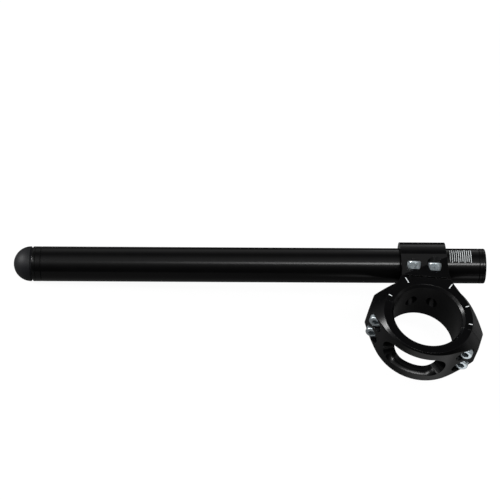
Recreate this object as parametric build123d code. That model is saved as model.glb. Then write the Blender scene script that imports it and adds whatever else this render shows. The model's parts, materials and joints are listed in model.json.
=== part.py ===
from build123d import *
import math
import os

# Clip-on handlebar for a motorbike. A two-piece clamp grips the fork tube, and a split sleeve
# on the clamp's body grips a straight bar. Lengths are in millimetres, angles in degrees.
# The origin is the middle of the fork bore. Z runs up the fork tube, and X runs along the bar
# as seen from above, from its outer end to its inner end.

# Fork clamp
FORK_DIAMETER = 43.0
CLAMP_HEIGHT = 30.5
BORE_CHAMFER = 1.5
LAND_WALL = 6.1  # fork bore to the rim of the flat top land
EAR_SLOPE = 48.0  # fall of the conical ear tops, from the horizontal
SPLIT_GAP = 0.2
SPLIT_ANGLE = -19.0  # turn of the split plane about Z, from the bar
FLAT_ANGLE = 45.0  # lean of the ears' sloped flats
BODY_NOSE_WALL = 8.0
BODY_FLAT_WALL = 8.9
CAP_NOSE_WALL = 6.9
CAP_FLAT_WALL = 7.9
EAR_EDGE = 6.7  # bolt axis to the end face of an ear
EAR_CORNER_RADIUS = 2.0

# Window through the cap
WINDOW_HEIGHT = 17.4
WINDOW_SPREAD = 52.0  # half the angle that the window opens through
WINDOW_PIVOT_DEPTH = 4.75  # fork bore to the point that the window fans out from

# Socket-head bolts, M5
BOLT_DIAMETER = 5.0
BOLT_LENGTH = 16.0
HEAD_DIAMETER = 8.5
HEAD_HEIGHT = 5.0
SOCKET_WIDTH = 4.0
SOCKET_DEPTH = 2.5
HEAD_CLEARANCE = 0.3
SHANK_CLEARANCE = 0.25
THREAD_CLEARANCE = 0.05
TAPPED_SPARE_DEPTH = 1.5

# Places of the cap bolts
CAP_BOLT_STANDOFF = 7.3  # fork bore to a bolt's axis
CAP_BOLT_SPACING = 11.8
CAP_EAR_THICKNESS = 7.2  # split face to the seat of a bolt's head

# Bar and its place on the clamp
BAR_DIAMETER = 22.2
BAR_WALL = 4.0
BAR_OUTER_REACH = 245.0
BAR_INNER_REACH = 42.4
BAR_END_CHAMFER = 0.8
GROOVE_WIDTH = 0.6
GROOVE_DEPTH = 0.3
OUTER_GROOVE_SETBACK = 5.7
INNER_GROOVE_SETBACK = 4.1
BAR_STANDOFF = 28.5  # fork bore to the bar's axis
BAR_HEIGHT = -2.2
BAR_DROOP = 7.26  # fall of the bar towards its outer end
BAR_FIT = 0.05

# Pinch sleeve and the neck that carries it
SLEEVE_WALL = 3.75
SLEEVE_LENGTH = 28.7
SLEEVE_SHIFT = 2.4  # middle of the neck to the middle of the sleeve, along the bar
NECK_WIDTH = 30.0
NECK_FLARE = 30.0
NECK_FILLET = 25.0
FACET_FALL = 12.7  # slope of the milled facet between the top land and the sleeve
FACET_START = 6.0  # angle from the sleeve's crown to the facet's foot
SLIT_WIDTH = 0.7
SLIT_STANDOFF = 7.1  # fork bore to the slit, along the top land

# Places of the pinch bolts
PINCH_BOLT_ANGLE = 38.0  # rise of a bolt's axis from the horizontal
PINCH_BOLT_SPACING = 13.0
PINCH_EXIT_HEIGHT = 1.0
FLAP_THICKNESS = 3.9  # slit to the seat of a bolt's head
RELIEF_CLEARANCE = 0.9
RELIEF_DEPTH = 2.0

# Bar end plug
PLUG_RIM_LENGTH = 1.2
PLUG_RIM_CHAMFER = 0.6
PLUG_SHANK_LENGTH = 40.0
PLUG_FIT = 0.1

# Sizes worked out from those above
bore_radius = FORK_DIAMETER / 2
half_height = CLAMP_HEIGHT / 2
land_radius = bore_radius + LAND_WALL
bolt_offset = bore_radius + CAP_BOLT_STANDOFF
ear_reach = bolt_offset + EAR_EDGE
cap_seat = SPLIT_GAP / 2 + CAP_EAR_THICKNESS
bolt_radius = BOLT_DIAMETER / 2
pocket_radius = HEAD_DIAMETER / 2 + HEAD_CLEARANCE
bar_radius = BAR_DIAMETER / 2
bar_y = bore_radius + BAR_STANDOFF
sleeve_radius = bar_radius + BAR_FIT + SLEEVE_WALL
sleeve_start = SLEEVE_SHIFT - SLEEVE_LENGTH / 2
sleeve_end = SLEEVE_SHIFT + SLEEVE_LENGTH / 2
long_cut = 4 * ear_reach  # longer than any piece that it cuts

# Placements. In the clamp's own frame the cap lies on the -Y side of the split plane.
clamp_frame = Rot(0, 0, SPLIT_ANGLE)
bar_frame = Pos(0, bar_y, BAR_HEIGHT) * Rot(0, -BAR_DROOP, 0)


def pinch_frame(x):
    """Frame on a pinch bolt's axis where it leaves the fork bore, with +Z towards the head."""
    return Pos(x, bore_radius, PINCH_EXIT_HEIGHT) * Rot(PINCH_BOLT_ANGLE - 90, 0, 0)


def rod(radius, start, end):
    """Cylinder along Z between two heights."""
    return Pos(0, 0, start) * Cylinder(radius, end - start, align=(Align.CENTER, Align.CENTER, Align.MIN))


def turned(points):
    """Solid of revolution about X from a closed outline of (x, radius) points."""
    outline = make_face(Polyline(*[(x, radius) for x, radius in points], close=True))
    return revolve(outline, Axis.X)


def half_outline(flat_distance, nose_reach):
    """Half of the clamp in plan, on the +Y side: two ears, sloped flats and a rounded nose."""
    sine = math.sin(math.radians(FLAT_ANGLE))
    cosine = math.cos(math.radians(FLAT_ANGLE))
    corner_y = (flat_distance - ear_reach * sine) / cosine
    nose_centre = (nose_reach - flat_distance) / (1 - cosine)
    nose_radius = nose_reach - nose_centre
    flat_x = nose_radius * sine
    flat_y = nose_centre + nose_radius * cosine
    split_y = SPLIT_GAP / 2
    edges = [
        Line((flat_x, flat_y), (ear_reach, corner_y)),
        Line((ear_reach, corner_y), (ear_reach, split_y)),
        Line((ear_reach, split_y), (-ear_reach, split_y)),
        Line((-ear_reach, split_y), (-ear_reach, corner_y)),
        Line((-ear_reach, corner_y), (-flat_x, flat_y)),
        ThreePointArc((-flat_x, flat_y), (0, nose_reach), (flat_x, flat_y)),
    ]
    outline = make_face(edges)
    corners = [v for v in outline.vertices() if abs(v.Y - corner_y) < SPLIT_GAP / 2]
    return fillet(corners, EAR_CORNER_RADIUS)


def ear_envelope():
    """Double cone that keeps a flat land round the bore and slopes the tops of the ears."""
    tip_radius = land_radius + half_height / math.tan(math.radians(EAR_SLOPE))
    profile = Polyline(
        (0, 0, half_height),
        (land_radius, 0, half_height),
        (tip_radius, 0, 0),
        (land_radius, 0, -half_height),
        (0, 0, -half_height),
        close=True,
    )
    return revolve(make_face(profile), Axis.Z)


def fork_bore():
    """The fork tube's bore, with a chamfer at each mouth."""
    rim_radius = bore_radius + BORE_CHAMFER
    shoulder = half_height - BORE_CHAMFER
    profile = Polyline(
        (0, 0, half_height),
        (rim_radius, 0, half_height),
        (bore_radius, 0, shoulder),
        (bore_radius, 0, -shoulder),
        (rim_radius, 0, -half_height),
        (0, 0, -half_height),
        close=True,
    )
    return revolve(make_face(profile), Axis.Z)


def cap_bolt_frames():
    """Frames at the seats of the four cap bolts, with +Z towards the head."""
    frames = []
    for x in (-bolt_offset, bolt_offset):
        for z in (-CAP_BOLT_SPACING / 2, CAP_BOLT_SPACING / 2):
            frames.append(clamp_frame * Pos(x, -cap_seat, z) * Rot(90, 0, 0))
    return frames


def slit_distance():
    """Distance along a pinch bolt from the fork bore to the middle of the slit."""
    angle = math.radians(PINCH_BOLT_ANGLE)
    return SLIT_STANDOFF * math.cos(angle) + (half_height - PINCH_EXIT_HEIGHT) * math.sin(angle)


def pinch_seat():
    """Distance along a pinch bolt from the fork bore to the seat of its head."""
    return slit_distance() + SLIT_WIDTH / 2 + FLAP_THICKNESS


def pinch_places():
    """X places of the two pinch bolts."""
    return (-PINCH_BOLT_SPACING / 2, PINCH_BOLT_SPACING / 2)


def window():
    """Cutter for the cap's window: a fan of constant height with round ends."""
    pivot = bore_radius - WINDOW_PIVOT_DEPTH
    radius = WINDOW_HEIGHT / 2
    spread = math.radians(WINDOW_SPREAD)
    far = (long_cut * math.sin(spread), -long_cut * math.cos(spread))
    fan = make_face(Polyline((0, 0), far, (-far[0], far[1]), close=True))
    cutter = extrude(fan, radius, both=True)
    for side in (-1, 1):
        cutter += Rot(0, 0, side * WINDOW_SPREAD) * Rot(90, 0, 0) * rod(radius, 0, long_cut)
    return Pos(0, -pivot, 0) * cutter


def clamp_cap():
    """Outer half of the fork clamp, with the window and four bolt seats."""
    nose = bore_radius + CAP_NOSE_WALL
    flats = bore_radius + CAP_FLAT_WALL
    half = Rot(0, 0, 180) * extrude(half_outline(flats, nose), half_height, both=True)
    cap = clamp_frame * ((half & ear_envelope()) - fork_bore() - window())
    for frame in cap_bolt_frames():
        cap -= frame * rod(pocket_radius, 0, long_cut)
        cap -= frame * rod(bolt_radius + SHANK_CLEARANCE, -cap_seat, 0)
    return cap


def neck():
    """Neck from the fork clamp to the pinch sleeve, flared to run into the round land."""
    side = NECK_WIDTH / 2
    flare = math.radians(NECK_FLARE)
    foot_x = land_radius * math.cos(flare)
    foot_y = land_radius * math.sin(flare)
    bend_y = foot_y + (foot_x - side) / math.tan(flare)
    outline = make_face(
        Polyline(
            (-foot_x, foot_y),
            (foot_x, foot_y),
            (side, bend_y),
            (side, bar_y),
            (-side, bar_y),
            (-side, bend_y),
            close=True,
        )
    )
    bends = [v for v in outline.vertices() if abs(v.Y - bend_y) < SLIT_WIDTH]
    block = extrude(fillet(bends, NECK_FILLET), half_height, both=True)
    start = math.radians(FACET_START)
    foot = Pos(0, -sleeve_radius * math.sin(start), sleeve_radius * math.cos(start))
    above = Box(long_cut, 2 * long_cut, long_cut, align=(Align.CENTER, Align.CENTER, Align.MIN))
    block -= bar_frame * foot * Rot(-FACET_FALL, 0, 0) * above
    straight_y = bend_y + NECK_FILLET * math.tan(flare / 2)
    return block - bar_frame * Pos(sleeve_start, straight_y - bar_y, 0) * neck_relief()


def neck_relief():
    """Cutter that keeps the neck inside the sleeve's outer end, with a round run-out."""
    beside = Box(long_cut, long_cut, long_cut, align=(Align.MAX, Align.MIN, Align.CENTER))
    return beside + Pos(-NECK_FILLET, 0, 0) * rod(NECK_FILLET, -long_cut / 2, long_cut / 2)


def sleeve():
    """Round sleeve about the bar, with its ends square to the bar."""
    return bar_frame * Rot(0, 90, 0) * rod(sleeve_radius, sleeve_start, sleeve_end)


def slit():
    """Cutter for the slit that frees the sleeve's upper jaw, from the top land to the bar's bore."""
    angle = math.radians(PINCH_BOLT_ANGLE)
    top_y = bore_radius + SLIT_STANDOFF
    depth = (bar_y - top_y) * math.sin(angle) + (half_height - BAR_HEIGHT) * math.cos(angle)
    blade = Box(long_cut, depth, SLIT_WIDTH, align=(Align.CENTER, Align.MIN, Align.CENTER))
    above = Box(long_cut, CLAMP_HEIGHT, SLIT_WIDTH, align=(Align.CENTER, Align.MAX, Align.CENTER))
    return Pos(0, top_y, half_height) * Rot(PINCH_BOLT_ANGLE - 90, 0, 0) * (blade + above)


def clamp_body():
    """Inner half of the fork clamp, in one piece with the neck and the pinch sleeve."""
    nose = bore_radius + BODY_NOSE_WALL
    flats = bore_radius + BODY_FLAT_WALL
    half = extrude(half_outline(flats, nose), half_height, both=True) & ear_envelope()
    body = clamp_frame * half + neck() + sleeve()
    body -= fork_bore()
    body -= bar_frame * Rot(0, 90, 0) * rod(bar_radius + BAR_FIT, -long_cut, long_cut)
    body -= slit()
    tapped_length = BOLT_LENGTH + TAPPED_SPARE_DEPTH
    for frame in cap_bolt_frames():
        body -= frame * rod(bolt_radius + THREAD_CLEARANCE, -tapped_length, 0)
    for x in pinch_places():
        axis = pinch_frame(x)
        body -= axis * rod(pocket_radius, pinch_seat(), long_cut)
        body -= axis * rod(bolt_radius + SHANK_CLEARANCE, slit_distance(), pinch_seat())
        body -= axis * rod(bolt_radius + THREAD_CLEARANCE, -bore_radius, slit_distance())
        body -= axis * rod(bolt_radius + RELIEF_CLEARANCE, -bore_radius, RELIEF_DEPTH)
    return body


def bolt():
    """Socket-head bolt along Z, with the underside of its head at zero."""
    head = rod(HEAD_DIAMETER / 2, 0, HEAD_HEIGHT)
    shank = rod(bolt_radius, -BOLT_LENGTH, 0)
    hexagon = RegularPolygon(SOCKET_WIDTH / 2, 6, major_radius=False)
    socket = Pos(0, 0, HEAD_HEIGHT) * extrude(hexagon, -SOCKET_DEPTH)
    return head + shank - socket


def groove(middle):
    """Outline points of a fine V groove turned into the bar."""
    return [
        (middle - GROOVE_WIDTH / 2, bar_radius),
        (middle, bar_radius - GROOVE_DEPTH),
        (middle + GROOVE_WIDTH / 2, bar_radius),
    ]


def bar_tube():
    """Straight bar with a chamfer and a fine groove at each end, and one at the sleeve's mouth."""
    inner = bar_radius - BAR_WALL
    shoulder = bar_radius - BAR_END_CHAMFER
    outline = [
        (-BAR_OUTER_REACH, inner),
        (-BAR_OUTER_REACH, shoulder),
        (-BAR_OUTER_REACH + BAR_END_CHAMFER, bar_radius),
        *groove(-BAR_OUTER_REACH + OUTER_GROOVE_SETBACK),
        *groove(sleeve_start),
        *groove(BAR_INNER_REACH - INNER_GROOVE_SETBACK),
        (BAR_INNER_REACH - BAR_END_CHAMFER, bar_radius),
        (BAR_INNER_REACH, shoulder),
        (BAR_INNER_REACH, inner),
    ]
    return bar_frame * turned(outline)


def bar_end_plug():
    """Moulded plug with a domed end and a plain shank pushed into the bar's outer end."""
    rim = -PLUG_RIM_LENGTH
    dome = CenterArc((rim, 0), bar_radius, 90, 90)
    base = Polyline(
        (rim - bar_radius, 0),
        (0, 0),
        (0, bar_radius - PLUG_RIM_CHAMFER),
        (-PLUG_RIM_CHAMFER, bar_radius),
        (rim, bar_radius),
    )
    head = revolve(make_face([base, dome]), Axis.X)
    shank = Rot(0, 90, 0) * rod(bar_radius - BAR_WALL - PLUG_FIT, 0, PLUG_SHANK_LENGTH)
    return bar_frame * Pos(-BAR_OUTER_REACH, 0, 0) * (head + shank)


def main():
    pinch_seats = [pinch_frame(x) * Pos(0, 0, pinch_seat()) for x in pinch_places()]
    pieces = {
        "clamp_body": clamp_body(),
        "clamp_cap": clamp_cap(),
        "bar_tube": bar_tube(),
        "bar_end_plug": bar_end_plug(),
        "cap_bolts": Compound(children=[frame * bolt() for frame in cap_bolt_frames()]),
        "pinch_bolts": Compound(children=[seat * bolt() for seat in pinch_seats]),
    }
    os.makedirs("parts", exist_ok=True)
    for name, piece in pieces.items():
        export_step(piece, f"parts/{name}.step")
        print(name, round(piece.volume, 1), "mm3")


main()
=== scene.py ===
# %% [markdown]
# # A clip-on handlebar for a motorbike
# A clip-on is a short handlebar that clamps straight onto a fork tube. This one has a milled
# two-piece clamp, a straight tube with a domed plug, and six bright bolts. The solids come from
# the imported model, in metres and in its own frame. This lesson gives them their finish.

# %% Load the fixed frame
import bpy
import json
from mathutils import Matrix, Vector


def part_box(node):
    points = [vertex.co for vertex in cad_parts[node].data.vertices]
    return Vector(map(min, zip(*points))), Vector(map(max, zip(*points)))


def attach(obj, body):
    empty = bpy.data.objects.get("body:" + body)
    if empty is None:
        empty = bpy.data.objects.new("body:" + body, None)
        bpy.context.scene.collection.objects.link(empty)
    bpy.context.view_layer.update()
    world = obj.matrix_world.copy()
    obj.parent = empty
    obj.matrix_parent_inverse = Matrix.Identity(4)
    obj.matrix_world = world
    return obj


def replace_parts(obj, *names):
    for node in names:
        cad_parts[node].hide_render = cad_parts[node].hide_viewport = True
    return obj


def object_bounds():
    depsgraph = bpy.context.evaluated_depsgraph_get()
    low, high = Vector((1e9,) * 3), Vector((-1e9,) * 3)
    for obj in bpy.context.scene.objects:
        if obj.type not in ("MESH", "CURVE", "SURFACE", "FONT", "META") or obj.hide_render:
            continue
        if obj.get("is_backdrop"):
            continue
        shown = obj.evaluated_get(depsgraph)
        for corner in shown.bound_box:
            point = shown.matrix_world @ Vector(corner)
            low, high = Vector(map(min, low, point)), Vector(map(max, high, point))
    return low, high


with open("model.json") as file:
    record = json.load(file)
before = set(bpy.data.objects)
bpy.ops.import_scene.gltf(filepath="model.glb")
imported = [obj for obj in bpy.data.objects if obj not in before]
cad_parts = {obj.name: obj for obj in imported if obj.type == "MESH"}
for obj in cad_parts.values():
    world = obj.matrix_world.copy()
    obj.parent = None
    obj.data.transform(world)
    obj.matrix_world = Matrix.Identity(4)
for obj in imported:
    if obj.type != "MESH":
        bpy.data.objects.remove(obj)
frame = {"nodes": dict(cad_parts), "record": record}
cad_low, cad_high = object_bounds()
print("solids:", ", ".join(sorted(frame["nodes"])))

# %% [markdown]
# ## Units and the bar's own axes
# The bar droops a little, so anything turned on a lathe is easier to draw along its own axis and
# then placed once. The record names the seat for the grip: a point on the bar's axis, its
# direction, its radius and its length. Those four facts place every turned piece.

# %% Where the bar lies
import json
import math

import bmesh
import bpy
import numpy as np
from mathutils import Matrix, Vector

MM = 0.001
mounts = {mount["name"]: mount for mount in frame["record"]["mounts"]}
seat = mounts["grip_seat"]
bar_radius = seat["dims"]["r_mm"] * MM
seat_half = seat["dims"]["length_mm"] * MM / 2


def placed(origin, x_axis, y_axis):
    """Matrix of a frame with the given origin and two of its axes."""
    axes = Matrix((x_axis, y_axis, x_axis.cross(y_axis))).transposed()
    return Matrix.Translation(origin) @ axes.to_4x4()


bar_frame = placed(Vector(seat["pos_m"]), -Vector(seat["axis"]).normalized(), Vector((0, 1, 0)))


def corners_seen_from(place, node):
    """Corners of a solid's mesh as an array, in the axes of a placed frame."""
    inverse = place.inverted()
    return np.array([inverse @ vertex.co for vertex in frame["nodes"][node].data.vertices])


tube_corners = corners_seen_from(bar_frame, "bar_tube")
plug_corners = corners_seen_from(bar_frame, "bar_end_plug")
outer_end = tube_corners[:, 0].min()
inner_end = tube_corners[:, 0].max()
tube_bore = np.hypot(tube_corners[:, 1], tube_corners[:, 2]).min()
print(f"bar: {(inner_end - outer_end) / MM:.1f} mm long, {2 * bar_radius / MM:.1f} mm thick")

# %% [markdown]
# ## Shader maths as Python
# A node tree is hard to read as a list of links. A small class holds one socket and takes part in
# sums, so that `1 - mask` adds a Math node by itself. Every other node comes from one method,
# which sets the node up first and fills its sockets after.

# %% A socket that takes part in sums
MIX_FACTOR = 0
MIX_LOW_COLOUR = 6
MIX_HIGH_COLOUR = 7
MIX_COLOUR_OUT = 2


class Wire:
    """One output socket of a node tree, usable in Python arithmetic."""

    def __init__(self, tree, socket=None):
        self.tree = tree
        self.socket = socket

    def node(self, kind, settings=(), values=(), output=0):
        """Add a node, set it up, fill its sockets, and return one of its outputs."""
        made = self.tree.nodes.new("ShaderNode" + kind)
        for name, value in dict(settings).items():
            if name == "stops":
                self.set_stops(made.color_ramp, value)
            else:
                setattr(made, name, value)
        for name, value in dict(values).items():
            if isinstance(value, Wire):
                self.tree.links.new(value.socket, made.inputs[name])
            else:
                made.inputs[name].default_value = value
        return Wire(self.tree, made.outputs[output] if len(made.outputs) else None)

    def set_stops(self, ramp, stops):
        """Give a colour ramp its stops, as (position, grey level) pairs."""
        while len(ramp.elements) < len(stops):
            ramp.elements.new(1)
        for element, (position, level) in zip(ramp.elements, stops):
            element.position = position
            element.color = (level, level, level, 1)

    def math(self, operation, first, second=0.0):
        return self.node("Math", {"operation": operation}, {0: first, 1: second})

    def __add__(self, other):
        return self.math("ADD", self, other)

    def __radd__(self, other):
        return self.math("ADD", other, self)

    def __sub__(self, other):
        return self.math("SUBTRACT", self, other)

    def __rsub__(self, other):
        return self.math("SUBTRACT", other, self)

    def __mul__(self, other):
        return self.math("MULTIPLY", self, other)

    def __rmul__(self, other):
        return self.math("MULTIPLY", other, self)

    def __truediv__(self, other):
        return self.math("DIVIDE", self, other)

    def at_least(self, other):
        return self.math("MAXIMUM", self, other)

    def __lt__(self, other):
        return self.math("LESS_THAN", self, other)

    def __gt__(self, other):
        return self.math("GREATER_THAN", self, other)

    def pick(self, low, high):
        """The colour low where this value is 0 and high where it is 1."""
        low, high = [colour if isinstance(colour, Wire) else (*colour, 1) for colour in (low, high)]
        values = {MIX_FACTOR: self, MIX_LOW_COLOUR: low, MIX_HIGH_COLOUR: high}
        return self.node("Mix", {"data_type": "RGBA"}, values, MIX_COLOUR_OUT)


print("operators:", "+ - * / < >, with 1 - mask")


# %% Helpers for every finish
FINE_DETAIL = 2.0


def new_material(name):
    """An empty material and a wire that starts its tree."""
    material = bpy.data.materials.new(name)
    material.use_nodes = True
    material.node_tree.nodes.clear()
    return material, Wire(material.node_tree)


def grain(start, size, detail=FINE_DETAIL):
    """Noise with cells of about one size, in metres, over the piece's own space."""
    place = start.node("TexCoord", output="Object")
    return start.node("TexNoise", {}, {"Vector": place, "Scale": 1 / size, "Detail": detail})


def part_along(start, vector, axis):
    """One coordinate of a vector."""
    return start.node("SeparateXYZ", {}, {"Vector": vector}, axis)


def from_upright(start, place):
    """Distance of a place from the Z axis."""
    flat = start.node("VectorMath", {"operation": "MULTIPLY"}, {0: place, 1: (1, 1, 0)})
    return start.node("VectorMath", {"operation": "LENGTH"}, {0: flat}, "Value")


def surface(start, **values):
    """Close a tree with a Principled surface."""
    named = {name.replace("_", " "): value for name, value in values.items()}
    shader = start.node("BsdfPrincipled", {}, named)
    start.node("OutputMaterial", {}, {"Surface": shader})


print("noise detail:", FINE_DETAIL)

# %% [markdown]
# ## Satin black anodised aluminium
# The clamp is milled, bead blasted and then anodised black. Blasting leaves a fine even grain
# that spreads the light, and the dye isn't quite even. A bump from fine noise makes the grain,
# and a Bevel node rounds the normals at each edge as a tumbled edge would, without a new mesh.
# The cap's window has a hand-eased lower lip that catches a lamp. A second bump, whose height
# falls away from the fork's axis on that one level face, eases it.

# %% The clamp's finish
BLAST_GRAIN = 0.16 * MM
BLAST_HEIGHT = 0.02 * MM
BLAST_STRENGTH = 0.12
BLAST_ROUGHENS = 0.05
DYE_PATCH = 6 * MM
DYE_ROUGHENS = 0.05
EDGE_ROUND = 0.3 * MM
EDGE_SAMPLES = 6
CLAMP_DARK = (0.0010, 0.0010, 0.0012)
CLAMP_PALE = (0.0017, 0.0017, 0.0020)
CLAMP_ROUGHNESS = 0.17
CLAMP_SPECULAR = 0.21
LIP_START = 23.2 * MM
LIP_ROUND = 8.5 * MM
LIP_TOP = -7 * MM
LIP_FADE = 1.7 * MM
LIP_LEVEL = 0.5
IN_METRES = 1.0


def eased_lip(start, normal):
    """Normals of the window's lower face, eased towards its outer edge."""
    place = start.node("TexCoord", output="Object")
    facing = start.node("NewGeometry", output="True Normal")
    lip = part_along(start, facing, "Z") > LIP_LEVEL
    low = ((LIP_TOP - part_along(start, place, "Z")) / LIP_FADE).at_least(0)
    past = (from_upright(start, place) - LIP_START).at_least(0)
    fall = past * past / (-2 * LIP_ROUND) * lip * low
    return start.node("Bump", {}, {"Distance": IN_METRES, "Height": fall, "Normal": normal})


def anodised_clamp():
    material, start = new_material("clamp_satin_black")
    blast = grain(start, BLAST_GRAIN)
    patch = grain(start, DYE_PATCH)
    edge = start.node("Bevel", {"samples": EDGE_SAMPLES}, {"Radius": EDGE_ROUND})
    eased = eased_lip(start, edge)
    pits = {"Strength": BLAST_STRENGTH, "Distance": BLAST_HEIGHT, "Height": blast, "Normal": eased}
    surface(
        start,
        Base_Color=patch.pick(CLAMP_DARK, CLAMP_PALE),
        Roughness=CLAMP_ROUGHNESS + DYE_ROUGHENS * patch + BLAST_ROUGHENS * blast,
        Specular_IOR_Level=CLAMP_SPECULAR,
        Normal=start.node("Bump", {}, pits),
    )
    return material


clamp_finish = anodised_clamp()
print("made", clamp_finish.name)

# %% [markdown]
# ## Gloss black anodised tube
# The bar is drawn tube, turned and polished before it is anodised. Its gloss is much higher than
# the clamp's, and the lathe leaves rings too fine to see one by one. They only spread a highlight
# along the bar, so noise that varies along one axis alone sets the roughness and a faint bump.

# %% The bar's finish
RING_PITCH = 0.09 * MM
RING_HEIGHT = 0.01 * MM
RING_STRENGTH = 0.04
RING_ROUGHENS = 0.06
BAR_DARK = (0.0018, 0.0018, 0.0019)
BAR_PALE = (0.0028, 0.0028, 0.0029)
BAR_ROUGHNESS = 0.14
BAR_DYE_ROUGHENS = 0.04
BAR_SPECULAR = 0.22


def anodised_bar():
    material, start = new_material("bar_gloss_black")
    place = start.node("TexCoord", output="Object")
    along = part_along(start, place, "X")
    ring_values = {"W": along, "Scale": 1 / RING_PITCH, "Detail": FINE_DETAIL}
    rings = start.node("TexNoise", {"noise_dimensions": "1D"}, ring_values)
    patch = grain(start, DYE_PATCH)
    turning = {"Strength": RING_STRENGTH, "Distance": RING_HEIGHT, "Height": rings}
    surface(
        start,
        Base_Color=patch.pick(BAR_DARK, BAR_PALE),
        Roughness=BAR_ROUGHNESS + RING_ROUGHENS * rings + BAR_DYE_ROUGHENS * patch,
        Specular_IOR_Level=BAR_SPECULAR,
        Normal=start.node("Bump", {}, turning),
    )
    return material


bar_finish = anodised_bar()
print("made", bar_finish.name)

# %% [markdown]
# ## Matte moulded plug
# The plug is injection moulded in a spark-eroded mould, which leaves a fine matte texture. It is
# rougher and a little lighter than the metal, so it shows one broad soft highlight. A high
# roughness alone would do from afar, but noise at the grain's real size holds up close too.

# %% The plug's finish
MOULD_GRAIN = 0.22 * MM
MOULD_HEIGHT = 0.03 * MM
MOULD_STRENGTH = 0.2
MOULD_DETAIL = 3.0
MOULD_ROUGHENS = 0.08
PLUG_DARK = (0.0040, 0.0042, 0.0056)
PLUG_PALE = (0.0060, 0.0063, 0.0080)
PLUG_ROUGHNESS = 0.5
PLUG_SPECULAR = 0.27


def moulded_plug():
    material, start = new_material("plug_matte_black")
    texture = grain(start, MOULD_GRAIN, MOULD_DETAIL)
    patch = grain(start, DYE_PATCH)
    erosion = {"Strength": MOULD_STRENGTH, "Distance": MOULD_HEIGHT, "Height": texture}
    surface(
        start,
        Base_Color=patch.pick(PLUG_DARK, PLUG_PALE),
        Roughness=PLUG_ROUGHNESS + MOULD_ROUGHENS * texture,
        Specular_IOR_Level=PLUG_SPECULAR,
        Normal=start.node("Bump", {}, erosion),
    )
    return material


plug_finish = moulded_plug()
print("made", plug_finish.name)

# %% [markdown]
# ## Bright zinc
# The bolts are steel with a clear blue zinc plating: bright, slightly cold, and a little cloudy.
# Metal has no diffuse colour of its own, so all of its look comes from what it mirrors, and the
# cloudiness is a change of roughness. The thread is painted dark and not metallic as painted shade
# where it sits in the hole and the slit, and the socket is painted darker as painted shade in its
# recess. Those could be more materials, but masks along and across the bolt's own axis keep it one.

# %% The bolts' finish
ZINC_CLOUD = 0.8 * MM
CLOUD_DETAIL = 4.0
CLOUD_ROUGHENS = 0.15
ZINC_BLUE = (0.68, 0.79, 0.86)
ZINC_PALE = (0.90, 0.96, 0.98)
ZINC_ROUGHNESS = 0.22
THREAD_SHADE_COLOUR = (0.012, 0.012, 0.013)
THREAD_SHADE_START = 0.5 * MM
THREAD_SHADE_END = 14.5 * MM
SOCKET_SHADE_REACH = 2.4 * MM
SOCKET_SHADE_TOP = 4.7 * MM
SOCKET_SHADE_SHARE = 0.5
PAINTED_SHADE_ROUGHENS = 0.3


def plated_zinc():
    material, start = new_material("bolt_bright_zinc")
    cloud = grain(start, ZINC_CLOUD, CLOUD_DETAIL)
    place = start.node("TexCoord", output="Object")
    height = part_along(start, place, "Z")
    reach = from_upright(start, place)
    # Painted shade: the thread is dark and not metallic where it sits in the hole and the slit.
    thread_shade = (height < -THREAD_SHADE_START) * (height > -THREAD_SHADE_END)
    # Painted shade: the socket is darker inside, where it is recessed.
    socket_shade = SOCKET_SHADE_SHARE * (reach < SOCKET_SHADE_REACH) * (height > 0) * (height < SOCKET_SHADE_TOP)
    dark = thread_shade.at_least(socket_shade)
    zinc = cloud.pick(ZINC_BLUE, ZINC_PALE)
    surface(
        start,
        Base_Color=dark.pick(zinc, THREAD_SHADE_COLOUR),
        Metallic=1 - thread_shade,
        Roughness=ZINC_ROUGHNESS + CLOUD_ROUGHENS * cloud + PAINTED_SHADE_ROUGHENS * dark,
    )
    return material


bolt_finish = plated_zinc()
print("made", bolt_finish.name)

# %% [markdown]
# ## White marks
# The setting marks are cut into the anodising by a laser and filled with white. One flat white
# would look like paper. Up close the fill is slightly uneven, so fine noise mixes two whites.

# %% The marks' finish
FILL_GRAIN = 0.15 * MM
FILL_GREY = (0.76, 0.80, 0.81)
FILL_WHITE = (0.88, 0.92, 0.93)
FILL_ROUGHNESS = 0.5
FILL_ROUGHENS = 0.1


def white_fill():
    material, start = new_material("mark_white_fill")
    speck = grain(start, FILL_GRAIN)
    surface(
        start,
        Base_Color=speck.pick(FILL_GREY, FILL_WHITE),
        Roughness=FILL_ROUGHNESS + FILL_ROUGHENS * speck,
    )
    return material


mark_finish = white_fill()
print("made", mark_finish.name)

# %% [markdown]
# ## Meshes from rings
# A tube, a plug and a bolt are all rings of points joined in order. Blender's Screw modifier could
# spin an outline too, but it gives one radius per height. Rings drawn by a function can also be
# hexagons, knurls or a thread, so one helper serves every turned piece.

# %% Skin a stack of rings
SHARP_EDGE = math.radians(28)
SAME_POINT = 0.001 * MM


def add_rings(mesh, rings, closed, capped):
    """Join rings of equal length. A closed stack ends where it starts, a capped one has flat ends."""
    rows = [[mesh.verts.new(point) for point in ring] for ring in rings]
    pairs = list(zip(rows, rows[1:]))
    if closed:
        pairs.append((rows[-1], rows[0]))
    for low, high in pairs:
        for i in range(len(low)):
            mesh.faces.new((low[i - 1], low[i], high[i], high[i - 1]))
    if capped:
        mesh.faces.new(rows[0])
        mesh.faces.new(rows[-1])


def as_mesh(name, mesh, finish):
    """Turn a bmesh into smooth-shaded mesh data whose real corners stay sharp."""
    bmesh.ops.remove_doubles(mesh, verts=mesh.verts, dist=SAME_POINT)
    bmesh.ops.recalc_face_normals(mesh, faces=mesh.faces)
    for face in mesh.faces:
        face.smooth = True
    for edge in mesh.edges:
        edge.smooth = edge.calc_face_angle(0) < SHARP_EDGE
    data = bpy.data.meshes.new(name)
    mesh.to_mesh(data)
    mesh.free()
    data.materials.append(finish)
    return data


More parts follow.
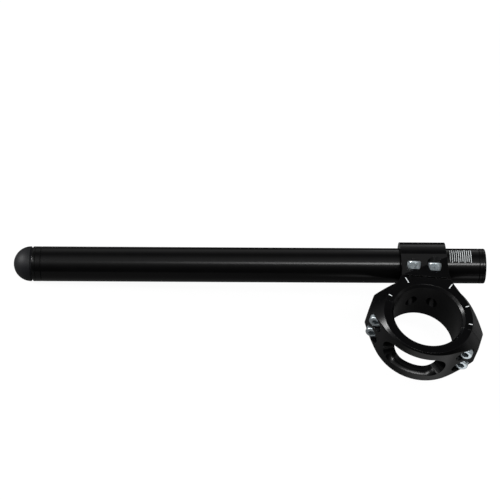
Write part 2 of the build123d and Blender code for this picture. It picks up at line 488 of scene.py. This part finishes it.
def mesh_of_rings(name, rings, closed, finish):
    """Mesh data from one stack of rings."""
    mesh = bmesh.new()
    add_rings(mesh, rings, closed, False)
    return as_mesh(name, mesh, finish)


print(f"edges stay sharp over {math.degrees(SHARP_EDGE):.0f} degrees")


# %% Show a mesh
def add_piece(name, data, place):
    """Show a mesh at a place. It rides on the part's one body."""
    piece = bpy.data.objects.new(name, data)
    piece.matrix_world = place
    bpy.context.scene.collection.objects.link(piece)
    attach(piece, "root")
    print(name, len(data.polygons), "faces")
    return piece


# %% A lathe
TURNS = 192
CORNER_STEPS = 5


def lathe(outline):
    """Rings about the X axis from (x, radius) points."""
    angles = [2 * math.pi * i / TURNS for i in range(TURNS)]
    return [[(x, r * math.cos(a), r * math.sin(a)) for a in angles] for x, r in outline]


def rounded(x, radius, size, side):
    """Points of a rounded outer corner of a turned end, from the end face to the outside."""
    points = []
    for i in range(CORNER_STEPS + 1):
        turn = math.pi / 2 * i / CORNER_STEPS
        points.append((x + side * size * (1 - math.cos(turn)), radius - size * (1 - math.sin(turn))))
    return points


print("lathe:", TURNS, "points in a ring")

# %% [markdown]
# ## The bar
# The bar is a plain tube with rounded ends and fine V grooves. Two grooves near each end and one at
# the mouth of the clamp's sleeve break up its long highlight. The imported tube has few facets, so a
# finer lathe mesh takes its place, on the same axis and with the same ends.

# %% The tube
END_ROUND = 0.8 * MM
GROOVE_WIDTH = 0.6 * MM
GROOVE_DEPTH = 0.3 * MM
FINE_LINE_SETBACK = 2.1 * MM
FINE_LINE_SHARE = 0.6
INNER_GROOVE_SETBACK = 4.1 * MM


def groove(middle, share=1.0):
    """Outline points of a V groove in the bar."""
    half = share * GROOVE_WIDTH / 2
    depth = share * GROOVE_DEPTH
    return [(middle - half, bar_radius), (middle, bar_radius - depth), (middle + half, bar_radius)]


groove_from_seat = seat_half + GROOVE_WIDTH / 2
tube_outline = [
    (outer_end + END_ROUND, tube_bore),
    (outer_end, tube_bore + END_ROUND),
    *rounded(outer_end, bar_radius, END_ROUND, 1),
    *groove(outer_end + FINE_LINE_SETBACK, FINE_LINE_SHARE),
    *groove(-groove_from_seat),
    *groove(groove_from_seat),
    *groove(inner_end - INNER_GROOVE_SETBACK),
    *groove(inner_end - FINE_LINE_SETBACK, FINE_LINE_SHARE),
    *reversed(rounded(inner_end, bar_radius, END_ROUND, -1)),
    (inner_end, tube_bore + END_ROUND),
    (inner_end - END_ROUND, tube_bore),
]
tube_mesh = mesh_of_rings("bar_tube_turned", lathe(tube_outline), True, bar_finish)
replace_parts(add_piece("bar_tube_turned", tube_mesh, bar_frame), "bar_tube")

# %% [markdown]
# ## The end plug
# A dome that is half a ball, a short rim, and a narrow neck that leaves a dark gap against the
# tube. A sphere object could stand for the dome, but one outline on the lathe gives the dome, the
# gap and the shank in one piece, as it is moulded.

# %% The plug
DOME_STEPS = 32
PLUG_RIM = 1.2 * MM
PLUG_GAP = 0.9 * MM
PLUG_ROUND = 0.25 * MM
PLUG_NECK_DEPTH = 1.1 * MM
PLUG_FIT = 0.1 * MM

dome_centre = outer_end - PLUG_RIM
shank_end = plug_corners[:, 0].max()
dome_turns = [math.pi / 2 * i / DOME_STEPS for i in range(DOME_STEPS + 1)]
plug_outline = [
    *[(dome_centre - bar_radius * math.cos(t), bar_radius * math.sin(t)) for t in dome_turns],
    *reversed(rounded(outer_end - PLUG_GAP, bar_radius, PLUG_ROUND, -1)),
    (outer_end - PLUG_GAP, bar_radius - PLUG_NECK_DEPTH),
    (outer_end, bar_radius - PLUG_NECK_DEPTH),
    (outer_end, tube_bore - PLUG_FIT),
    (shank_end, tube_bore - PLUG_FIT),
    (shank_end, 0),
]
plug_mesh = mesh_of_rings("bar_end_plug_moulded", lathe(plug_outline), False, plug_finish)
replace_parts(add_piece("bar_end_plug_moulded", plug_mesh, bar_frame), "bar_end_plug")

# %% [markdown]
# ## Socket-head bolts
# All six bolts are M5 socket-head bolts with a knurled round head, a hexagon socket and a thread.
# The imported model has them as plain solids, and this finer bolt takes their place. Every level of
# it is a ring with the same number of points, so a hexagon, a knurl and a screw thread all join
# without a seam.

# %% Rings of a bolt
HEAD_RADIUS = 4.25 * MM
KNURLS = 30
KNURL_DEPTH = 0.3 * MM
THREAD_PITCH = 0.8 * MM
THREAD_DEPTH = 0.4 * MM
BOLT_TURNS = 4 * KNURLS


def zigzag(turns):
    """A wave of straight flanks: 1 at whole turns and 0 half way."""
    return abs(2 * (turns % 1) - 1)


def circle(radius):
    return lambda angle: radius


def hexagon(width):
    sector = math.pi / 3
    return lambda angle: width / 2 / math.cos(angle % sector - sector / 2)


def knurled(angle):
    return HEAD_RADIUS - KNURL_DEPTH * zigzag(KNURLS * angle / math.tau)


def threaded(z, crest):
    return lambda angle: crest - THREAD_DEPTH * zigzag(z / THREAD_PITCH + angle / math.tau)


print("knurls:", KNURLS, "points in a ring:", BOLT_TURNS)

# %% Levels of a bolt
HEAD_HEIGHT = 5.0 * MM
HEAD_ROUND = 0.8 * MM
SOCKET_WIDTH = 4.0 * MM
SOCKET_DEPTH = 2.5 * MM
SOCKET_MOUTH = 0.2 * MM
KNURL_RUN_OUT = 0.3 * MM
SHANK_RADIUS = 2.5 * MM
SHANK_LENGTH = 16.0 * MM
THREAD_STEPS = 6
TIP_LENGTH = 0.8 * MM


def head_levels():
    """Levels from the bottom of the socket to the underside of the head."""
    floor = HEAD_HEIGHT - SOCKET_DEPTH
    levels = [
        (floor - SOCKET_MOUTH, circle(0)),
        (floor, hexagon(SOCKET_WIDTH)),
        (HEAD_HEIGHT - SOCKET_MOUTH, hexagon(SOCKET_WIDTH)),
        (HEAD_HEIGHT, hexagon(SOCKET_WIDTH + 2 * SOCKET_MOUTH)),
    ]
    for fall, radius in rounded(0, HEAD_RADIUS, HEAD_ROUND, 1):
        levels.append((HEAD_HEIGHT - fall, circle(radius)))
    return levels + [
        (HEAD_HEIGHT - HEAD_ROUND - KNURL_RUN_OUT, knurled),
        (KNURL_RUN_OUT, knurled),
        (0, circle(HEAD_RADIUS - KNURL_RUN_OUT)),
        (0, circle(SHANK_RADIUS)),
    ]


def shank_levels():
    """Levels of the thread, from below the head to the tip."""
    steps = round(SHANK_LENGTH / THREAD_PITCH * THREAD_STEPS)
    levels = []
    for i in range(THREAD_STEPS, steps + 1):
        z = -SHANK_LENGTH * i / steps
        taper = max(0, TIP_LENGTH - SHANK_LENGTH - z)
        levels.append((z, threaded(z, SHANK_RADIUS - taper)))
    return levels + [(-SHANK_LENGTH, circle(0))]


bolt_angles = [math.tau * i / BOLT_TURNS for i in range(BOLT_TURNS)]
bolt_rings = []
for z, radius in head_levels() + shank_levels():
    bolt_rings.append([(radius(a) * math.cos(a), radius(a) * math.sin(a), z) for a in bolt_angles])
bolt_mesh = mesh_of_rings("socket_bolt", bolt_rings, False, bolt_finish)
print("one bolt:", len(bolt_rings), "rings,", len(bolt_mesh.polygons), "faces")

# %% [markdown]
# ## The six bolts in their places
# Four bolts pull the cap to the body across the split, which is turned about the fork tube. Two
# pinch bolts rise from the fork bore through the sleeve's slit. No two real bolts stop at the
# same turn, so each gets a turn of its own.

# %% Place the bolts
SPLIT_TURN = math.radians(-19)
CAP_BOLT_OFFSET = 28.8 * MM
CAP_BOLT_SEAT = 7.3 * MM
CAP_BOLT_RISE = 5.9 * MM
PINCH_TILT = math.radians(38)
PINCH_OFFSET = 6.5 * MM
PINCH_EXIT_HEIGHT = 1.0 * MM
PINCH_SEAT = 18.618 * MM
STOP_TURN = math.radians(23)

fork_radius = mounts["fork_bore"]["dims"]["r_mm"] * MM
pinch_y = fork_radius + PINCH_SEAT * math.cos(PINCH_TILT)
pinch_z = PINCH_EXIT_HEIGHT + PINCH_SEAT * math.sin(PINCH_TILT)
quarter = math.pi / 2
bolt_places = []
for x in (-CAP_BOLT_OFFSET, CAP_BOLT_OFFSET):
    for z in (-CAP_BOLT_RISE, CAP_BOLT_RISE):
        lie = Matrix.Translation((x, -CAP_BOLT_SEAT, z)) @ Matrix.Rotation(quarter, 4, "X")
        bolt_places.append(("cap_bolts", Matrix.Rotation(SPLIT_TURN, 4, "Z") @ lie))
for x in (-PINCH_OFFSET, PINCH_OFFSET):
    lie = Matrix.Translation((x, pinch_y, pinch_z)) @ Matrix.Rotation(PINCH_TILT - quarter, 4, "X")
    bolt_places.append(("pinch_bolts", lie))

for number, (node, place) in enumerate(bolt_places, start=1):
    turned = place @ Matrix.Rotation(STOP_TURN * number, 4, "Z")
    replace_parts(add_piece(f"{node}_bolt_{number}", bolt_mesh, turned), node)

# %% [markdown]
# ## Setting marks
# White ticks on the clamp's top face line up with the fork, and fine lines on the bar show how far
# it is pushed in. A colour mask could paint them, but it would blur in a baked texture. Thin
# inlays that stand a hair above the surface stay crisp from any distance.

# %% Ticks on the clamp
MARK_HEIGHT = 0.02 * MM
MARK_DEPTH = 0.08 * MM
TICK_WIDTH = 0.58 * MM
SHORT_TICK = (25.0 * MM, 27.5 * MM)
LONG_TICK = (25.6 * MM, 29.9 * MM)
TICKS = [(-10, SHORT_TICK), (19, SHORT_TICK), (56, LONG_TICK), (115.5, LONG_TICK), (151.5, SHORT_TICK)]
END_STEPS = 8

land_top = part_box("clamp_cap")[1].z


def tick_outline(near, far):
    """A bar with round ends along X, between two distances from the fork's axis."""
    half = TICK_WIDTH / 2
    points = []
    for middle, first_turn in ((far - half, -quarter), (near + half, quarter)):
        for i in range(END_STEPS + 1):
            turn = first_turn + math.pi * i / END_STEPS
            points.append((middle + half * math.cos(turn), half * math.sin(turn)))
    return points


tick_mesh = bmesh.new()
for angle, (near, far) in TICKS:
    turn = Matrix.Rotation(math.radians(angle), 4, "Z")
    rings = []
    for z in (land_top - MARK_DEPTH, land_top + MARK_HEIGHT):
        rings.append([turn @ Vector((x, y, z)) for x, y in tick_outline(near, far)])
    add_rings(tick_mesh, rings, False, True)
add_piece("clamp_tick_marks", as_mesh("clamp_tick_marks", tick_mesh, mark_finish), Matrix.Identity(4))

# %% Graduation lines on the bar
LINE_WIDTH = 0.32 * MM
LINE_PITCH = 1.31 * MM
LINE_COUNT = 11
LONG_EVERY = 3
LAST_LINE_SETBACK = 9.65 * MM
LINE_START = math.radians(66)
LINE_SWEEP = math.radians(46)
LONG_EXTRA = math.radians(4)
ARC_STEPS = 20

line_mesh = bmesh.new()
for number in range(LINE_COUNT):
    middle = inner_end - LAST_LINE_SETBACK - number * LINE_PITCH
    extra = 0 if number % LONG_EVERY else LONG_EXTRA
    rings = []
    for i in range(ARC_STEPS + 1):
        turn = LINE_START - extra + (LINE_SWEEP + 2 * extra) * i / ARC_STEPS
        low = bar_radius - MARK_DEPTH
        high = bar_radius + MARK_HEIGHT
        left = middle - LINE_WIDTH / 2
        right = middle + LINE_WIDTH / 2
        section = [(left, low), (right, low), (right, high), (left, high)]
        rings.append([(x, r * math.cos(turn), r * math.sin(turn)) for x, r in section])
    add_rings(line_mesh, rings, False, True)
add_piece("bar_graduation_lines", as_mesh("bar_graduation_lines", line_mesh, mark_finish), bar_frame)

# %% [markdown]
# ## The clamp's two halves
# The clamp is milled, and its solids already have the true form. A new mesh would only copy them,
# so they keep their own and just get the satin finish.

# %% Dress the clamp
for name in ("clamp_body", "clamp_cap"):
    node = frame["nodes"][name]
    node.data.materials.clear()
    node.data.materials.append(clamp_finish)
    print(name, "wears", clamp_finish.name)

# %% [markdown]
# ## The camera
# A camera can be set by eye, but a part's proportions only show true from the right place. This
# one was fitted to the photograph by the rims of the fork bore, the edges of the bar and the
# outline of the clamp. It stands above and in front, with a long lens.

# %% Set the camera
CAMERA_PLACE = Vector((-206.45, -537.93, 772.29)) * MM
CAMERA_AIM = Vector((0.1009, 0.6027, -0.7917))
CAMERA_UP = Vector((-0.0815, 0.7981, 0.5971))
LENS = 111.6

camera = bpy.data.objects.new("camera", bpy.data.cameras.new("camera"))
camera.data.lens = LENS
camera_side = CAMERA_AIM.cross(CAMERA_UP).normalized()
camera.matrix_world = placed(CAMERA_PLACE, camera_side, CAMERA_UP.normalized())
bpy.context.scene.collection.objects.link(camera)
bpy.context.scene.camera = camera
bpy.context.scene.view_settings.view_transform = "Standard"
print(f"camera: {LENS} mm lens")

# %% [markdown]
# ## Studio light
# Black gloss shows the lamps more than it shows its own colour, so the lamps are placed by what
# the bar and the clamp mirror: a long strip overhead that is brightest towards the clamp, a
# softbox high on the left, a hotter lamp lower down and further off on that side, and a weak one
# behind. Spot lamps could light the part as well, but their highlights would be hard dots. A
# lamp's brightness here is what a perfect mirror would show.

# %% A softbox
def softbox(name, place, aim, width, height, brightness):
    """A rectangular lamp with its width level, as bright as stated in a mirror."""
    lamp = bpy.data.lights.new(name, "AREA")
    lamp.shape = "RECTANGLE"
    lamp.size = width
    lamp.size_y = height
    lamp.energy = brightness * math.pi * width * height
    back = (place - aim).normalized()
    side = Vector((0, 0, 1)).cross(back).normalized()
    holder = bpy.data.objects.new(name, lamp)
    holder.matrix_world = placed(place, side, back.cross(side))
    bpy.context.scene.collection.objects.link(holder)
    print(f"{name}: {width:.2f} by {height:.2f} m, brightness {brightness:.2f}")


# %% The overhead strip
STRIP_HEIGHT = 0.9
STRIP_LEAN = math.radians(22)
STRIP_WIDTH = 0.12
STRIP_PART = 0.1
STRIP_PARTS = 12
STRIP_START = -0.6
STRIP_BRIGHTEST = 0.05
STRIP_SPREAD = 0.22
STRIP_BRIGHTNESS = 21.0

hub = (cad_low + cad_high) / 2
lift = Vector((0, -STRIP_HEIGHT * math.sin(STRIP_LEAN), STRIP_HEIGHT * math.cos(STRIP_LEAN)))
for number in range(STRIP_PARTS):
    x = STRIP_START + STRIP_PART / 2 + number * STRIP_PART
    spot = Vector((x, hub.y, hub.z))
    fade = math.exp(-(((x - STRIP_BRIGHTEST) / STRIP_SPREAD) ** 2))
    softbox(f"strip_{number}", spot + lift, spot, STRIP_PART, STRIP_WIDTH, STRIP_BRIGHTNESS * fade)

# %% The lamps round the part
SOFT_AZIMUTH = math.radians(-105)
SOFT_ELEVATION = math.radians(50)
SOFT_DISTANCE = 1.0
SOFT_SIZE = 0.3
SOFT_BRIGHTNESS = 6.0
HOT_AZIMUTH = math.radians(-79)
HOT_ELEVATION = math.radians(20)
HOT_DISTANCE = 1.6
HOT_WIDTH = 0.45
HOT_HEIGHT = 0.25
HOT_BRIGHTNESS = 46.0
BACK_AZIMUTH = math.radians(14)
BACK_ELEVATION = math.radians(9)
BACK_DISTANCE = 1.0
BACK_WIDTH = 0.45
BACK_HEIGHT = 0.26
BACK_BRIGHTNESS = 0.65


def way_to(azimuth, elevation):
    """Unit vector at an azimuth from +Y towards +X and an elevation above the floor."""
    level = math.cos(elevation)
    return Vector((level * math.sin(azimuth), level * math.cos(azimuth), math.sin(elevation)))


clamp_middle = Vector(mounts["fork_bore"]["pos_m"])
soft_place = hub + SOFT_DISTANCE * way_to(SOFT_AZIMUTH, SOFT_ELEVATION)
hot_place = clamp_middle + HOT_DISTANCE * way_to(HOT_AZIMUTH, HOT_ELEVATION)
back_place = clamp_middle + BACK_DISTANCE * way_to(BACK_AZIMUTH, BACK_ELEVATION)
softbox("left_soft", soft_place, hub, SOFT_SIZE, SOFT_SIZE, SOFT_BRIGHTNESS)
softbox("left_hot", hot_place, clamp_middle, HOT_WIDTH, HOT_HEIGHT, HOT_BRIGHTNESS)
softbox("back_soft", back_place, clamp_middle, BACK_WIDTH, BACK_HEIGHT, BACK_BRIGHTNESS)

# %% [markdown]
# ## The room
# Beyond the lamps, black gloss mirrors the room. Its light changes with the angle round the bar: a
# pale backdrop low behind, a dim ceiling, and a dark side towards the camera. A picture of a
# studio could give that, but a colour ramp over one angle is enough and needs no file. The
# camera itself sees plain white, which Light Path tells apart.

# %% The world
WORLD_WHITE = (1, 1, 1, 1)
ROOM_BY_ANGLE = [
    (-180, 0.016),
    (-8, 0.04),
    (4, 0.24),
    (16, 0.48),
    (30, 0.43),
    (44, 0.176),
    (54, 0.055),
    (66, 0.12),
    (77, 0.336),
    (91, 0.64),
    (118, 0.64),
    (131, 0.24),
    (144, 0.08),
    (158, 0.024),
    (180, 0.016),
]


def studio_world():
    world = bpy.data.worlds.new("studio")
    world.use_nodes = True
    world.node_tree.nodes.clear()
    start = Wire(world.node_tree)
    way = start.node("TexCoord", output="Generated")
    angle = start.math("ARCTAN2", part_along(start, way, "Z"), part_along(start, way, "Y"))
    stops = [((math.radians(turn) + math.pi) / math.tau, level) for turn, level in ROOM_BY_ANGLE]
    room = start.node("ValToRGB", {"stops": stops}, {0: (angle + math.pi) / math.tau})
    camera_ray = start.node("LightPath", output="Is Camera Ray")
    glow = start.node("Background", {}, {"Color": WORLD_WHITE, "Strength": camera_ray.at_least(room)})
    start.node("OutputWorld", {}, {"Surface": glow})
    bpy.context.scene.world = world
    print("room:", len(stops), "levels")


studio_world()

# %% [markdown]
# ## The floor
# The floor is white to the camera and keeps a faint shadow. It has its own light only for rays
# from the camera, and a share of it for mirrored and refracted rays, so that the metal shows the
# white too and the floor doesn't light the part. The share is a painted pool of light in front of
# the clamp and a painted brightening on the right, seen only in reflections. It is low round the
# clamp, as painted shade, and rises a little to the left.

# %% The floor's finish
FLOOR_COLOUR = (0.09, 0.09, 0.09, 1)
FLOOR_WHITE = 0.95
PAINTED_POOL_PLACE = (0.03, -0.088, 0)
PAINTED_POOL_HALF_WIDTH = 0.11
PAINTED_POOL_HALF_DEPTH = 0.075
PAINTED_POOL_SHARES = [(0.0, 0.8), (0.52, 0.76), (0.75, 0.2), (0.95, 0.0)]
ALONG_START = -0.3
ALONG_RUN = 0.52
PAINTED_ALONG_SHARES = [(0.0, 0.12), (0.45, 0.05), (0.77, 0.02), (1.0, 0.5)]


def white_paint():
    material, start = new_material("floor_white")
    place = start.node("NewGeometry", output="Position")
    away = start.node("VectorMath", {"operation": "SUBTRACT"}, {0: place, 1: PAINTED_POOL_PLACE})
    stretch = (1 / PAINTED_POOL_HALF_WIDTH, 1 / PAINTED_POOL_HALF_DEPTH, 0)
    painted_pool = start.node("VectorMath", {"operation": "MULTIPLY"}, {0: away, 1: stretch})
    reach = start.node("VectorMath", {"operation": "LENGTH"}, {0: painted_pool}, "Value")
    along = (part_along(start, place, "X") - ALONG_START) / ALONG_RUN
    # Painted pool of light in front of the clamp, with painted shade round it, seen only in mirrored
    # and refracted rays.
    painted_pool_share = start.node("ValToRGB", {"stops": PAINTED_POOL_SHARES}, {0: reach})
    # Painted brightening along X: high on the right, a little on the left, low round the clamp.
    painted_along_share = start.node("ValToRGB", {"stops": PAINTED_ALONG_SHARES}, {0: along})
    share = painted_pool_share.at_least(painted_along_share)
    camera_ray = start.node("LightPath", output="Is Camera Ray")
    glossy = start.node("LightPath", output="Is Glossy Ray")
    clear = start.node("LightPath", output="Is Transmission Ray")
    seen = camera_ray + share * (glossy + clear)
    matte = start.node("BsdfDiffuse", {}, {"Color": FLOOR_COLOUR})
    glow = start.node("Emission", {}, {"Strength": FLOOR_WHITE * seen})
    both = start.node("AddShader", {}, {0: matte, 1: glow})
    start.node("OutputMaterial", {}, {"Surface": both})
    return material


floor_finish = white_paint()
print("made", floor_finish.name)

# %% Lay the floor
FLOOR_GAP = 0.5 * MM
FLOOR_SIZE = 6.0
UNIT_HALF = 0.5


def stage_sheet(name, width, depth, middle, finish):
    """A flat level sheet that belongs to the studio, not to the part."""
    mesh = bmesh.new()
    bmesh.ops.create_grid(mesh, size=UNIT_HALF, matrix=Matrix.Diagonal((width, depth, 1, 1)))
    data = bpy.data.meshes.new(name)
    mesh.to_mesh(data)
    mesh.free()
    data.materials.append(finish)
    sheet = bpy.data.objects.new(name, data)
    sheet.location = middle
    bpy.context.scene.collection.objects.link(sheet)
    sheet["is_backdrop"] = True
    print(f"{name}: {width:.1f} by {depth:.1f} m at {middle[2] / MM:.1f} mm")
    return sheet


floor_height = cad_low.z - FLOOR_GAP
stage_sheet("floor", FLOOR_SIZE, FLOOR_SIZE, (hub.x, hub.y, floor_height), floor_finish)

# %% [markdown]
# ## A dark card
# A photographer lays black card just outside the picture so that gloss has a dark edge against a
# white ground. This one lies on the floor behind the bar. Only mirrored rays see it: the camera
# doesn't, and it throws no shadow.

# %% Lay the card
CARD_COLOUR = (0.01, 0.01, 0.01, 1)
CARD_NEAR = 0.13
CARD_DEPTH = 0.9
CARD_WIDTH = 1.4
CARD_RISE = 1 * MM


def black_card():
    material, start = new_material("card_black")
    matte = start.node("BsdfDiffuse", {}, {"Color": CARD_COLOUR})
    start.node("OutputMaterial", {}, {"Surface": matte})
    middle = (hub.x, CARD_NEAR + CARD_DEPTH / 2, floor_height + CARD_RISE)
    card = stage_sheet("card", CARD_WIDTH, CARD_DEPTH, middle, material)
    card.visible_camera = False
    card.visible_diffuse = False
    card.visible_shadow = False


black_card()

# %% How far the boxes grew
seen_low, seen_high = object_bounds()
growth = [*(cad_low - seen_low), *(seen_high - cad_high)]
print("box grew by", [round(side / MM, 3) for side in growth], "mm")
